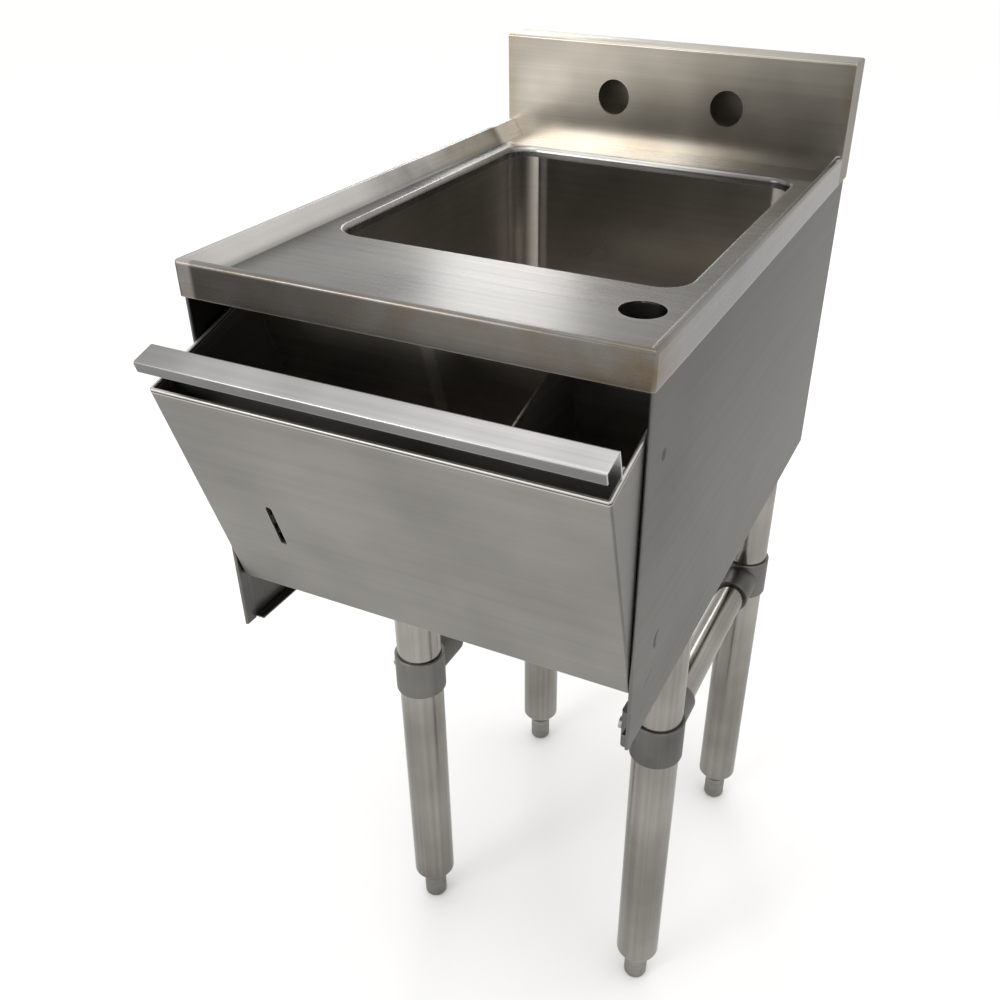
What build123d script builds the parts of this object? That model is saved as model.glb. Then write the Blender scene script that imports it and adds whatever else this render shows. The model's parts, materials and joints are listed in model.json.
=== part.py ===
from build123d import *
from math import hypot
import os

# Underbar hand sink with a bin that tilts out of its front. Millimetres.
# X runs across the unit, Y from the front apron to the wall, and Z up from the floor.
# The bin is drawn shut and then tilted open, which is how the unit is at rest.

# Whole unit
width = 304.8
depth = 476.2
rim_height = 762.0
sheet = 1.2
weld_gap = 0.15
running_gap = 0.3

# Deck: a pressed sheet with a raised edge on three sides
rim_flat = 4.5
slope_run = 8.4
rim_drop = 12.7
apron_height = 22.9
rim_round = 2.5
rim_inner_round = 1.6
crease_round = 2.5
soap_hole_x = 115.0
soap_hole_y = 81.0
soap_hole_radius = 14.3

# Bowl
bowl_width = 248.0
bowl_front = 123.0
bowl_rear_ledge = 40.0
bowl_depth = 165.0
bowl_corner = 19.0
bowl_cove = 20.0
bowl_roll = 4.0
bowl_collar = 8.0
drain_recess_radius = 43.0
drain_recess = 2.5

# Back splash
splash_rise = 70.8
splash_thickness = 33.2
splash_return = 86.0
splash_round = 2.0
faucet_spacing = 101.6
faucet_hole_radius = 14.3
faucet_hole_below_top = 43.3

# Side panels
panel_height = 260.1
panel_above_apron_edge = 8.0
panel_rear_gap = 4.2
panel_flange = 8.5
hem_width = 10.0
hem_gap = 0.2

# Legs, their cross channels and sockets
leg_inset = 32.0
front_leg_y = 180.0
rear_leg_inset = 26.2
leg_radius = 20.65
leg_wall = 1.6
channel_above_panel = 26.8
channel_width = 44.0
channel_height = 25.0
channel_sheet = 1.5
socket_radius = 24.5
socket_depth = 24.0
socket_top = 3.0
rear_brace_height = 50.0
rear_brace_above_channel = 6.0
rear_brace_flange = 12.0

# Feet
foot_radius = 11.4
foot_height = 30.0
foot_round = 3.5
foot_stem_radius = 6.0
foot_stem_length = 45.0
stem_gap = 0.06
plug_cone_height = 11.5
plug_cone_tip = 12.2
plug_depth = 25.0

# Collars on the legs, and the rails between them
collar_wall = 2.5
collar_height = 41.0
collar_edge = 0.9
collar_centre_left = 321.0
collar_centre_right = 333.5
rail_radius = 14.3
rail_wall = 1.5
rail_socket_wall = 3.3
rail_socket_reach = 52.0
rail_end_gap = 4.0
rail_screw_reach = 42.0
boss_reach = 31.0
boss_width = 17.0
boss_round = 4.0
set_screw_radius = 3.5
set_screw_head_radius = 5.5
set_screw_head = 3.0
set_screw_key = 2.6
set_screw_key_depth = 2.0

# Bin, drawn shut
bin_side_gap = 1.9
bin_front = 3.0
bin_bottom = 542.0
bin_top = 716.5
bin_depth = 107.2
bin_bend = 2.0
bin_lip = 10.8
divider_x = 78.0
divider_above_bin = 2.5
slot_x = -94.0
slot_below_top = 85.6
slot_length = 36.4
slot_width = 5.0

# Handle channel across the top of the bin
handle_below_apron = 1.4
handle_front = 2.0
handle_width = 18.4
handle_lip = 7.4
handle_side_gap = 0.4
handle_bend = 1.8
pocket_bottom = 690.0
handle_tab = 8.6

# Bin pivot and stops
pivot_y = 46.0
pivot_z = 553.0
bin_open = 17.0
pivot_radius = 4.0
pivot_gap = 0.06
pivot_washer = 1.2
pivot_washer_radius = 8.0
pivot_nut_height = 6.4
pivot_nut_across = 13.0
stop_sheet = 2.0
stop_width = 18.0
stop_front_gap = 2.0
stop_rear_gap = 3.0

# Drain
drain_flange_radius = 40.0
drain_flange = 2.0
drain_throat_radius = 24.5
drain_bore_radius = 20.4
drain_length = 45.0
drain_hole_gap = 1.0
gasket_radius = 38.0
gasket_thickness = 3.0
locknut_radius = 35.0
locknut_height = 8.0
strainer_radius = 27.0
strainer_seat = 1.6
strainer_hole = 2.2
tail_radius = 19.05
tail_wall = 1.3
tail_length = 110.0
tail_flange = 1.5
tail_neck = 0.4
tail_neck_length = 4.0
slip_washer_thickness = 2.0
slip_nut_wall = 5.0
slip_nut_overlap = 10.0
slip_nut_lip = 2.5

# Worked out from the sizes above
half = width / 2
deck_top = rim_height - rim_drop
apron_bottom = rim_height - apron_height
splash_front = depth - splash_thickness
splash_top = rim_height + splash_rise
bowl_rear = splash_front - bowl_rear_ledge
bowl_length = bowl_rear - bowl_front
bowl_middle = (bowl_front + bowl_rear) / 2
bowl_floor = deck_top - bowl_depth
drain_seat = bowl_floor - drain_recess
panel_outside = half - sheet
panel_inside = panel_outside - sheet
panel_bottom = apron_bottom + panel_above_apron_edge - panel_height
panel_front = rim_round + 0.2
panel_rear = depth - panel_rear_gap
hem = 2 * sheet + hem_gap
bin_half = panel_inside - bin_side_gap
bin_rear = bin_front + bin_depth
handle_top = apron_bottom - handle_below_apron
handle_rear = handle_front + handle_width
channel_under = panel_bottom + channel_above_panel
leg_x = panel_inside - leg_inset
leg_bottom = foot_height + plug_cone_height
leg_top = channel_under - socket_top
collar_centre = {-1: collar_centre_left, 1: collar_centre_right}
socket_outer = rail_radius + rail_socket_wall
nut_face = bin_half - sheet - running_gap - pivot_washer
rear_leg_y = depth - rear_leg_inset
leg_y = {"front": front_leg_y, "rear": rear_leg_y}
side_name = {-1: "left", 1: "right"}


# Plain solids between two limits on each axis, given in either order.
def block(x0, x1, y0, y1, z0, z1):
    box = Box(abs(x1 - x0), abs(y1 - y0), abs(z1 - z0))
    return Pos((x0 + x1) / 2, (y0 + y1) / 2, (z0 + z1) / 2) * box


def post(x, y, z0, z1, radius):
    return Pos(x, y, (z0 + z1) / 2) * Cylinder(radius, z1 - z0)


def bar(x0, x1, y, z, radius):
    return Pos((x0 + x1) / 2, y, z) * Rot(0, 90, 0) * Cylinder(radius, abs(x1 - x0))


def rod(x, y0, y1, z, radius):
    return Pos(x, (y0 + y1) / 2, z) * Rot(90, 0, 0) * Cylinder(radius, abs(y1 - y0))


def tube(x, y, z0, z1, outer, inner):
    return post(x, y, z0, z1, outer) - post(x, y, z0 - 1, z1 + 1, inner)


def edges_at(body, z):
    level = body.edges().filter_by(lambda edge: edge.bounding_box().size.Z < 0.01)
    return level.filter_by(lambda edge: abs(edge.center().Z - z) < 0.01)


def bowl_column(grow, z0, z1):
    plan = RectangleRounded(bowl_width + 2 * grow, bowl_length + 2 * grow, bowl_corner + grow)
    return extrude(Pos(0, bowl_middle, z0) * plan, z1 - z0)


# Deck. The sheet is the space between its upper surface and the same surface set in by one
# thickness: outside bends get smaller by the sheet, and inside bends larger.
def deck_form(inset):
    low = min(apron_bottom, deck_top - bowl_collar) - 10
    high = rim_height - inset
    floor = deck_top - inset
    rear = splash_front + 10
    slope_shift = inset * hypot(slope_run, rim_drop) / rim_drop
    pocket_plan = []
    for z in (floor, high):
        edge = rim_flat + (rim_height - z) * slope_run / rim_drop - slope_shift
        plan = Rectangle(width - 2 * edge, rear + 10 - edge)
        pocket_plan.append(Pos(0, (rear + 10 + edge) / 2, z) * plan)
    body = block(inset - half, half - inset, inset, rear, low, high)
    body -= loft(pocket_plan, ruled=True)
    inner_rim = edges_at(body, high).filter_by(lambda edge: inside_rim(edge, inset, rear))
    body = fillet(inner_rim, rim_inner_round - inset)
    crease = edges_at(body, floor).filter_by(lambda edge: edge.center().Y < rear - 1)
    body = fillet(crease, crease_round + inset)
    upright = body.edges().filter_by(Axis.Z).sort_by(Axis.Y)[:2]
    outer_rim = edges_at(body, high).filter_by(lambda edge: on_outside(edge, inset))
    body = fillet(upright + outer_rim, rim_round - inset)
    body -= bowl_column(inset, low - 1, rim_height)
    mouth = edges_at(body, floor).filter_by(beside_bowl)
    return fillet(mouth, bowl_roll - inset)


def on_outside(edge, inset):
    middle = edge.center()
    return abs(abs(middle.X) - half + inset) < 0.01 or abs(middle.Y - inset) < 0.01


def inside_rim(edge, inset, rear):
    return not on_outside(edge, inset) and edge.center().Y < rear - 1


def beside_bowl(edge):
    middle = edge.center()
    reach = bowl_width / 2 + sheet + 1
    return abs(middle.X) < reach and bowl_front - sheet - 1 < middle.Y < bowl_rear + sheet + 1


def make_sink_top():
    formed = deck_form(0) - deck_form(sheet)
    reach = bowl_roll + sheet + 1
    column = block(-bowl_width / 2 - reach, bowl_width / 2 + reach,
                   bowl_front - reach, bowl_rear + reach, 0, rim_height)
    kept = block(-half, half, 0, splash_front, apron_bottom, rim_height) - column
    kept += column & block(-half, half, 0, splash_front, deck_top - bowl_collar, rim_height)
    formed = formed & kept
    return formed - post(soap_hole_x, soap_hole_y, deck_top - 5, deck_top + 5, soap_hole_radius)


# Bowl, welded edge to edge under the deck's drawn collar, with a recess for the drain.
def bowl_form(grow):
    top = deck_top - bowl_collar
    body = bowl_column(grow, bowl_floor - grow, top)
    body = fillet(edges_at(body, bowl_floor - grow), bowl_cove + grow)
    recess = post(0, bowl_middle, drain_seat - grow, bowl_floor, drain_recess_radius + grow)
    return body + recess


def make_bowl():
    hole = post(0, bowl_middle, drain_seat - 5, bowl_floor, drain_throat_radius + drain_hole_gap)
    return bowl_form(sheet) - bowl_form(0) - hole


# Back splash: a folded box of sheet, closed at both ends and open underneath.
def splash_form(inset):
    body = block(inset - half, half - inset, splash_front + inset, depth - inset,
                 apron_bottom - inset, splash_top - inset)
    return fillet(edges_at(body, splash_top - inset), splash_round - inset)


def make_backsplash():
    body = splash_form(0) - splash_form(sheet)
    inside = half - sheet
    body -= block(-inside, inside, depth - 2 * sheet, depth + 1, apron_bottom - 1, splash_top - splash_return)
    body -= block(-inside, inside, splash_front - 1, depth + 1, apron_bottom - 5, deck_top - sheet)
    body -= block(-half, half, splash_front, depth, apron_bottom - 5, apron_bottom)
    for side in (-1, 1):
        hole_z = splash_top - faucet_hole_below_top
        body -= rod(side * faucet_spacing / 2, splash_front - 5, splash_front + 5, hole_z, faucet_hole_radius)
    return body


# Side panels: sheet slid up inside the deck's side apron, hemmed in front, with a foot flange.
def make_side_panel(side):
    top = apron_bottom + panel_above_apron_edge
    out = side * panel_outside
    skin = side * panel_inside
    fold_end = panel_front + hem_width
    fold = block(out, out - side * hem, panel_front, fold_end, panel_bottom, top)
    nose = fold.edges().filter_by(Axis.Z).sort_by(Axis.Y)[:2]
    body = fillet(nose, hem / 2 - 0.05)
    body -= block(skin, skin - side * hem_gap, panel_front + hem / 2, fold_end + 1, panel_bottom - 1, top + 1)
    body += block(skin, out, fold_end, panel_rear, panel_bottom, top)
    flange_top = panel_bottom + sheet
    body += block(skin, out - side * panel_flange, fold_end + 1, panel_rear, panel_bottom, flange_top)
    return body


# Cross channels and the brace at the back.
def make_leg_channel(end):
    y = leg_y[end]
    low = channel_under
    wide = channel_width / 2
    body = block(-panel_inside, panel_inside, y - wide, y + wide, low, low + channel_height)
    trough = block(-half, half, y - wide + channel_sheet, y + wide - channel_sheet,
                   low + channel_sheet, low + channel_height + 1)
    outer = edges_at(body, low).filter_by(Axis.X)
    body = fillet(outer, 2 * channel_sheet)
    inner = edges_at(trough, low + channel_sheet).filter_by(Axis.X)
    return body - fillet(inner, channel_sheet)


def make_rear_brace():
    low = channel_under + channel_height + rear_brace_above_channel
    high = low + rear_brace_height
    upright = block(-panel_inside, panel_inside, panel_rear - sheet, panel_rear, low, high)
    flange_front = panel_rear - rear_brace_flange
    flange = block(-panel_inside, panel_inside, flange_front, panel_rear, high - sheet, high)
    return upright + flange


def make_leg_socket(side, end):
    x = side * leg_x
    y = leg_y[end]
    body = post(x, y, channel_under - socket_depth, channel_under, socket_radius)
    body = chamfer(edges_at(body, channel_under - socket_depth), 1.0)
    body -= post(x, y, 0, leg_top, leg_radius + weld_gap)
    inner = x - side * socket_radius
    hole = bar(inner - 5, inner + 5, y, socket_screw_z(), set_screw_radius + weld_gap)
    return body - hole


def socket_screw_z():
    return channel_under - socket_depth / 2


# A set screw along X, with its tip on a tube and a hexagon socket in its head.
def set_screw(tip, head, y, z):
    way = 1 if head > tip else -1
    top = head + way * set_screw_head
    body = bar(tip, head, y, z, set_screw_radius) + bar(head, top, y, z, set_screw_head_radius)
    key = Rot(0, 90, 0) * extrude(RegularPolygon(set_screw_key, 6), set_screw_head, both=True)
    return body - Pos(top + way * (set_screw_head - set_screw_key_depth), y, z) * key


def make_socket_screws():
    screws = []
    for side in (-1, 1):
        for end in leg_y:
            tip = side * (leg_x - leg_radius - weld_gap)
            head = side * (leg_x - socket_radius - weld_gap)
            screws.append(set_screw(tip, head, leg_y[end], socket_screw_z()))
    return screws


# Legs, cone-ended plugs and bullet feet.
def make_leg(side, end):
    return tube(side * leg_x, leg_y[end], leg_bottom, leg_top, leg_radius, leg_radius - leg_wall)


def make_leg_plug(side, end):
    bore = foot_stem_radius + stem_gap
    spigot = leg_radius - leg_wall - weld_gap
    with BuildPart() as plug:
        with BuildSketch(Plane.XZ):
            with BuildLine():
                Polyline((bore, foot_height), (plug_cone_tip, foot_height), (leg_radius, leg_bottom),
                         (spigot, leg_bottom), (spigot, leg_bottom + plug_depth - 1),
                         (spigot - 1, leg_bottom + plug_depth), (bore, leg_bottom + plug_depth), close=True)
            make_face()
        revolve(axis=Axis.Z)
    return Pos(side * leg_x, leg_y[end], 0) * plug.part


def make_foot(side, end):
    top = foot_height - running_gap
    pad = fillet(edges_at(post(0, 0, 0, top, foot_radius), 0), foot_round)
    stem = post(0, 0, top, top + foot_stem_length, foot_stem_radius)
    stem = chamfer(edges_at(stem, top + foot_stem_length), 1)
    return Pos(side * leg_x, leg_y[end], 0) * (pad + stem)


# Clamp collars: a ring round the leg and a socket for the rail, with set screws. The right-hand
# ones have a screw boss on their inner side, and the left-hand ones are screwed from outside. A
# collar is drawn with its rail towards the back, and turned half round at the rear legs.
def make_collar(side, end):
    z = collar_centre[side]
    ring = leg_radius + weld_gap + collar_wall
    screw_side = -1 if end == "front" else 1
    low = z - collar_height / 2
    high = z + collar_height / 2
    body = post(0, 0, low, high, ring)
    body = chamfer(edges_at(body, low) + edges_at(body, high), collar_edge)
    socket = rod(0, 0, rail_socket_reach, z, socket_outer)
    body += chamfer(socket.faces().sort_by(Axis.Y)[-1].edges(), collar_edge)
    if side > 0:
        pad = block(0, screw_side * boss_reach, -boss_width / 2, boss_width / 2, low + 0.5, high - 0.5)
        far = pad.edges().filter_by(Axis.Z).filter_by(lambda edge: abs(edge.center().X) > 1)
        body += fillet(far, boss_round)
    body -= post(0, 0, low - 1, high + 1, leg_radius + weld_gap)
    body -= rod(0, ring + 1, rail_socket_reach + 1, z, rail_radius + weld_gap)
    body -= bar(0, screw_side * (boss_reach + 1), 0, z, set_screw_radius + weld_gap)
    body -= bar(0, screw_side * (socket_outer + 1), rail_screw_reach, z, set_screw_radius + weld_gap)
    turn = 0 if end == "front" else 180
    return Pos(side * leg_x, leg_y[end], 0) * Rot(0, 0, turn) * body


def make_collar_screws():
    screws = []
    for side in (-1, 1):
        z = collar_centre[side]
        for end in leg_y:
            way = 1 if end == "front" else -1
            x = side * leg_x
            tip = x - leg_radius - weld_gap
            head = x - (boss_reach if side > 0 else leg_radius + collar_wall + weld_gap) - weld_gap
            screws.append(set_screw(tip, head, leg_y[end], z))
            tip = x - rail_radius - weld_gap
            head = x - socket_outer - weld_gap
            screws.append(set_screw(tip, head, leg_y[end] + way * rail_screw_reach, z))
    return screws


def make_side_rail(side):
    start = leg_radius + weld_gap + collar_wall + rail_end_gap
    outer = rod(side * leg_x, front_leg_y + start, rear_leg_y - start, collar_centre[side], rail_radius)
    inner = rod(side * leg_x, front_leg_y, rear_leg_y, collar_centre[side], rail_radius - rail_wall)
    return outer - inner


# Bin. A wall of the given thickness round its front and both sides, open at the back.
def bin_wrap(thick, z0, z1):
    outer = block(-bin_half, bin_half, bin_front, bin_rear, z0, z1)
    outer = fillet(outer.edges().filter_by(Axis.Z).sort_by(Axis.Y)[:2], bin_bend)
    inner = block(thick - bin_half, bin_half - thick, bin_front + thick, bin_rear + 1, z0 - 1, z1 + 1)
    bend = max(bin_bend - thick, 0.4)
    return outer - fillet(inner.edges().filter_by(Axis.Z).sort_by(Axis.Y)[:2], bend)


def make_bin_wrapper():
    fold = bin_wrap(hem, bin_top - hem_width, bin_top)
    fold = fillet(edges_at(fold, bin_top).filter_by(runs_along_wall), hem / 2 - 0.15)
    body = bin_wrap(sheet, bin_bottom, bin_top - hem_width) + fold
    slot_middle = bin_top - slot_below_top - slot_length / 2
    slot = SlotOverall(slot_length, slot_width, rotation=90)
    body -= Pos(slot_x, bin_front - 5, slot_middle) * Rot(-90, 0, 0) * extrude(slot, 20)
    return body - bar(-half, half, pivot_y, pivot_z, pivot_radius + pivot_gap)


def runs_along_wall(edge):
    return edge.center().Y < bin_rear - 1


def make_bin_floor():
    inside = bin_half - sheet
    notch = bin_half - hem
    floor = block(-inside, inside, bin_front + sheet, bin_rear + bin_lip, bin_bottom, bin_bottom + sheet)
    front_corners = floor.edges().filter_by(Axis.Z).sort_by(Axis.Y)[:2]
    floor = fillet(front_corners, bin_bend - sheet + 0.2)
    low_wall = block(-inside, inside, bin_rear - sheet, bin_rear, bin_bottom, bin_top - hem_width)
    high_wall = block(-notch, notch, bin_rear - sheet, bin_rear, bin_top - hem_width, bin_top)
    return floor + low_wall + high_wall


def make_handle_channel():
    wide = bin_half - handle_side_gap
    narrow = bin_half - hem
    low = pocket_bottom
    body = block(-wide, wide, handle_front, handle_rear, low, handle_top)
    body = fillet(body.edges().filter_by(Axis.X), handle_bend)
    hollow = block(-half, half, handle_front + sheet, handle_rear - sheet, low + sheet, handle_top - sheet)
    body -= fillet(hollow.edges().filter_by(Axis.X), handle_bend - sheet)
    body -= block(-half, half, 0, handle_rear - 2 * sheet, low + sheet, handle_top - handle_lip)
    body -= block(-half, half, 0, bin_front + sheet, low - 1, handle_top - handle_lip)
    for side in (-1, 1):
        end = side * narrow
        body -= block(end, side * half, 0, depth, low - 1, bin_top + running_gap)
        body += block(end, end - side * sheet, handle_rear - sheet, handle_rear + handle_tab,
                      bin_top - hem_width, bin_top)
    return body


def make_bin_divider():
    x0 = divider_x - sheet / 2
    x1 = divider_x + sheet / 2
    top = bin_top + divider_above_bin
    body = block(x0, x1, bin_front + sheet, bin_rear - sheet, bin_bottom + sheet, top)
    return body - block(x0 - 1, x1 + 1, 0, handle_rear, pocket_bottom, top + 1)


def tilt_open(piece):
    return piece.rotate(Axis((0, pivot_y, pivot_z), (1, 0, 0)), bin_open)


# Pivots: a shouldered stud on each side panel, with a washer and a nut inside the bin.
def make_pivot_stud(side):
    tip = side * (nut_face - pivot_nut_height - 2)
    skin = side * panel_inside
    shank = bar(tip, skin, pivot_y, pivot_z, pivot_radius)
    shank = chamfer(shank.faces().sort_by(Axis.X)[-1 if side < 0 else 0].edges(), 0.6)
    return shank + bar(side * (bin_half + running_gap), skin, pivot_y, pivot_z, pivot_washer_radius)


def make_pivot_washers():
    washers = []
    for side in (-1, 1):
        washer = bar(side * nut_face, side * (nut_face + pivot_washer), pivot_y, pivot_z, pivot_washer_radius)
        washers.append(washer - bar(-half, half, pivot_y, pivot_z, pivot_radius + pivot_gap))
    return washers


def make_pivot_nuts():
    hexagon = Rot(0, 90, 0) * extrude(RegularPolygon(pivot_nut_across / 2, 6, major_radius=False),
                                      pivot_nut_height / 2, both=True)
    nuts = []
    for side in (-1, 1):
        nut = Pos(side * (nut_face - pivot_nut_height / 2), pivot_y, pivot_z) * hexagon
        nuts.append(nut - bar(-half, half, pivot_y, pivot_z, pivot_radius + pivot_gap))
    return nuts


# Stops: a C-shaped catch on each side panel. The lip behind the bin lands on the lower arm when
# the bin is shut, and under the upper arm when it is open.
def make_stop_bracket(side):
    lip = block(0, 1, bin_rear, bin_rear + bin_lip, bin_bottom, bin_bottom + sheet)
    low = bin_bottom - running_gap
    high = tilt_open(lip).bounding_box().max.Z + running_gap
    front = bin_rear + stop_front_gap
    rear = bin_rear + bin_lip + stop_rear_gap
    skin = side * panel_inside
    end = skin - side * stop_width
    body = block(end, skin, front, rear + stop_sheet, low - stop_sheet, high + stop_sheet)
    body = fillet(body.edges().filter_by(Axis.X).sort_by(Axis.Y)[-2:], 1.5 * stop_sheet)
    return body - block(end - side, skin - side * stop_sheet, front - 1, rear, low, high)


# Drain: a flanged body through the bowl, held by a locknut, and a tailpiece on a slip nut.
def drain_levels():
    gasket_top = drain_seat - sheet
    body_end = drain_seat - drain_length
    return gasket_top, body_end


def make_drain_body():
    gasket_top, body_end = drain_levels()
    flange_top = drain_seat + drain_flange
    body = post(0, bowl_middle, drain_seat, flange_top, drain_flange_radius)
    body = chamfer(edges_at(body, flange_top), 0.9)
    body += post(0, bowl_middle, body_end, drain_seat, drain_throat_radius)
    body -= post(0, bowl_middle, body_end - 1, flange_top + 1, drain_bore_radius)
    return body - post(0, bowl_middle, flange_top - strainer_seat, flange_top + 1, strainer_radius + weld_gap)


def make_drain_strainer():
    top = drain_seat + drain_flange
    body = post(0, bowl_middle, top - strainer_seat, top, strainer_radius)
    holes = [Location((0, bowl_middle, top))]
    for ring, count in ((1, 6), (2, 12), (3, 18)):
        for place in PolarLocations(ring * strainer_radius * 0.2, count):
            holes.append(Location((0, bowl_middle, top)) * place)
    for place in holes:
        body -= place * Cylinder(strainer_hole, 3 * drain_flange)
    return body


def make_drain_gasket():
    gasket_top, body_end = drain_levels()
    inner = drain_throat_radius + weld_gap
    return tube(0, bowl_middle, gasket_top - gasket_thickness, gasket_top, gasket_radius, inner)


def make_drain_locknut():
    gasket_top, body_end = drain_levels()
    top = gasket_top - gasket_thickness
    body = post(0, bowl_middle, top - locknut_height, top, locknut_radius - 3)
    for place in PolarLocations(locknut_radius - 3, 4):
        body += Pos(0, bowl_middle, top - locknut_height / 2) * place * Box(6, 8, locknut_height)
    return body - post(0, bowl_middle, top - locknut_height - 1, top + 1, drain_throat_radius + weld_gap)


def make_slip_washer():
    gasket_top, body_end = drain_levels()
    inner = tail_radius + weld_gap
    return tube(0, bowl_middle, body_end - slip_washer_thickness, body_end, drain_throat_radius, inner)


def make_drain_tailpiece():
    gasket_top, body_end = drain_levels()
    top = body_end - slip_washer_thickness
    body = post(0, bowl_middle, top - tail_flange, top, drain_throat_radius)
    neck_end = top - tail_flange - tail_neck_length
    body += post(0, bowl_middle, neck_end, top - tail_flange, tail_radius - tail_neck)
    body += post(0, bowl_middle, top - tail_length, neck_end, tail_radius)
    return body - post(0, bowl_middle, top - tail_length - 1, top + 1, tail_radius - tail_wall)


def make_slip_nut():
    gasket_top, body_end = drain_levels()
    seat = body_end - slip_washer_thickness - tail_flange
    low = seat - slip_nut_lip
    high = body_end + slip_nut_overlap
    outer = drain_throat_radius + slip_nut_wall
    body = post(0, bowl_middle, low, high, outer)
    body = chamfer(edges_at(body, low), 1.2)
    for place in PolarLocations(outer, 8):
        body += Pos(0, bowl_middle, (low + high) / 2 + 0.6) * place * Box(3, 5, high - low - 1.2)
    body -= post(0, bowl_middle, seat, high + 1, drain_throat_radius + weld_gap)
    return body - post(0, bowl_middle, low - 1, seat + 1, tail_radius + weld_gap)


def make_all():
    pieces = {
        "sink_top": make_sink_top(),
        "backsplash": make_backsplash(),
        "bowl": make_bowl(),
        "rear_brace": make_rear_brace(),
        "socket_screws": make_socket_screws(),
        "collar_screws": make_collar_screws(),
        "drain_body": make_drain_body(),
        "drain_strainer": make_drain_strainer(),
        "drain_gasket": make_drain_gasket(),
        "drain_locknut": make_drain_locknut(),
        "drain_tailpiece": make_drain_tailpiece(),
        "slip_nut": make_slip_nut(),
        "slip_washer": make_slip_washer(),
        "pivot_washers": make_pivot_washers(),
        "pivot_nuts": make_pivot_nuts(),
        "bin_wrapper": tilt_open(make_bin_wrapper()),
        "bin_floor": tilt_open(make_bin_floor()),
        "handle_channel": tilt_open(make_handle_channel()),
        "bin_divider": tilt_open(make_bin_divider()),
    }
    for end in leg_y:
        pieces["leg_channel_" + end] = make_leg_channel(end)
    for side, name in side_name.items():
        pieces["side_panel_" + name] = make_side_panel(side)
        pieces["side_rail_" + name] = make_side_rail(side)
        pieces["pivot_stud_" + name] = make_pivot_stud(side)
        pieces["stop_bracket_" + name] = make_stop_bracket(side)
        for end in leg_y:
            place = end + "_" + name
            pieces["leg_socket_" + place] = make_leg_socket(side, end)
            pieces["leg_" + place] = make_leg(side, end)
            pieces["leg_plug_" + place] = make_leg_plug(side, end)
            pieces["foot_" + place] = make_foot(side, end)
            pieces["collar_" + place] = make_collar(side, end)
    return pieces


# The origin is on the floor, in the middle of the footprint with the bin open. A group of
# separate solids, such as the screws, is a list.
os.makedirs("parts", exist_ok=True)
pieces = make_all()
reach = pieces["handle_channel"].bounding_box().min.Y
origin_y = (reach + depth) / 2
print("footprint middle is", round(origin_y, 3), "mm behind the apron")
for name, piece in pieces.items():
    group = piece if isinstance(piece, list) else [piece]
    solids = [Pos(0, -origin_y, 0) * solid for part in group for solid in part.solids()]
    whole = solids[0] if len(solids) == 1 else Compound(children=solids)
    export_step(whole, "parts/" + name + ".step")
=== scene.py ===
# %% [markdown]
# # An underbar hand sink in stainless steel
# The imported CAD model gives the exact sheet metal. This lesson dresses it: brushed steel that knows
# which way each sheet was sanded, the weld beads and screw threads that the solids leave out, and
# a plain white studio.

# %% Open the frame
import bpy
import json
from math import cos, pi, radians, sin, tau
from mathutils import Matrix, Vector


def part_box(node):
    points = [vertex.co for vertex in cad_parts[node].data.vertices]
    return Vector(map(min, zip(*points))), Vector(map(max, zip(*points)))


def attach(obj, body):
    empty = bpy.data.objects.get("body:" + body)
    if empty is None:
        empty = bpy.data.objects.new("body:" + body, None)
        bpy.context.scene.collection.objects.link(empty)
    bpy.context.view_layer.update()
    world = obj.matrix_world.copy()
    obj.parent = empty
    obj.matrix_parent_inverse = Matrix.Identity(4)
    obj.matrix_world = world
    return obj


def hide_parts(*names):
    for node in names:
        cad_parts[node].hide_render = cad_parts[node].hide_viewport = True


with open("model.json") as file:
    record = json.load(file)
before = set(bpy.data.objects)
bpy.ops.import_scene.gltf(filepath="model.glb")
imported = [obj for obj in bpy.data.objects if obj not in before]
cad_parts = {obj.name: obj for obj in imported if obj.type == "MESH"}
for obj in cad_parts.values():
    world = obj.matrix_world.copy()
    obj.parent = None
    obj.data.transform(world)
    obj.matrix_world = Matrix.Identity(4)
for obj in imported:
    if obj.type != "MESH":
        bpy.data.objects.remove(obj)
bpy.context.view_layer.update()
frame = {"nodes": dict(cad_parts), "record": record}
mm = 0.001

# %% [markdown]
# ## Where the sheets meet
# Finishes change at bends and seams, so the script first reads where those are. Most places come
# from the boxes of the CAD pieces, and follow them if the model changes.


# %% Measure the unit
def box_of(name):
    low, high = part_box(name)
    return Vector(low), Vector(high)


deck_low, deck_high = box_of("sink_top")
splash_low, splash_high = box_of("backsplash")
bowl_low, bowl_high = box_of("bowl")
hinge_low, hinge_high = box_of("pivot_stud_right")
half_width = deck_high.x
rim_z = deck_high.z
apron_y = deck_low.y
splash_y = splash_low.y
bowl_rear = bowl_high.y
panel_face = box_of("side_panel_right")[1].x
bin_half = box_of("bin_wrapper")[1].x
rim_drop = 12.7 * mm
rim_reach = 12.9 * mm
deck_z = rim_z - rim_drop
print("half width", round(half_width, 4), "rim", round(rim_z, 4), "splash face", round(splash_y, 4))

# %% [markdown]
# ## Small helpers for node trees
# A material is a chain of small sums. Each of these helpers adds a node or a few and returns the
# result, so that a finish reads like a formula. They take numbers or the results of other nodes.


# %% Node helpers
def feed(tree, socket, value):
    if hasattr(value, "is_output"):
        tree.links.new(value, socket)
    else:
        socket.default_value = value


def add_node(tree, kind, out=0, settings=None, **inputs):
    node = tree.nodes.new(kind)
    for key, value in (settings or {}).items():
        setattr(node, key, value)
    for key, value in inputs.items():
        feed(tree, node.inputs[int(key[1:]) if key[1:].isdigit() else key.replace("_", " ")], value)
    return node.outputs[out]


def sum_of(tree, how, a, b=0.0, clamp=False):
    return add_node(tree, "ShaderNodeMath", settings={"operation": how, "use_clamp": clamp}, i0=a, i1=b)


def product(tree, first, *others):
    for other in others:
        first = sum_of(tree, "MULTIPLY", first, other)
    return first


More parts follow.
